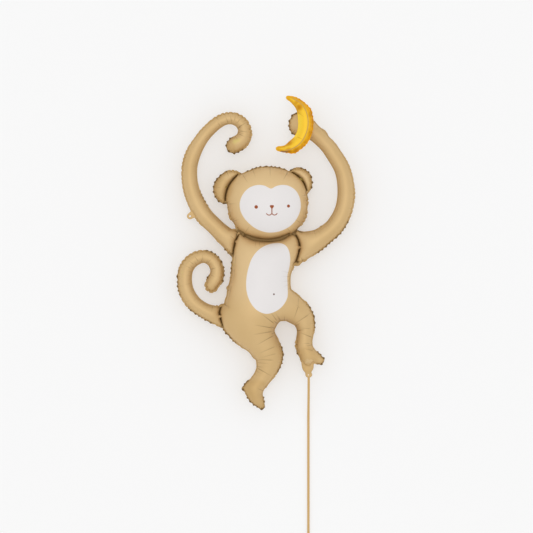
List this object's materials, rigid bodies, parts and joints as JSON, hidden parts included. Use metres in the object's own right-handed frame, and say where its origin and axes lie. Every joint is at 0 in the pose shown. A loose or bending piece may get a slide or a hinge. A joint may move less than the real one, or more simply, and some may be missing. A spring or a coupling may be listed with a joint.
{
  "type": "monkey foil balloon",
  "caption": "Inflated foil balloon of a monkey with raised arms and a curled tail, a small foil banana on its hand and a ribbon on its filling tail.",
  "frame": {"origin": "under the middle of the balloon, on the surface that it lies on", "axes": "+X to the right of the printed front as it is seen, +Y from the feet to the head, +Z out of the printed front"},
  "size_m": [0.5956, 1.5335, 0.1443],
  "materials": {
    "tan_foil": "satin tan metallised film with pale printed face and belly",
    "yellow_foil": "satin yellow metallised film",
    "ribbon": "flat woven satin ribbon"
  },
  "bodies": {
    "root": {"monkey_balloon": "tan_foil", "banana_balloon": "yellow_foil", "ribbon": "ribbon"}
  },
  "joints": []
}
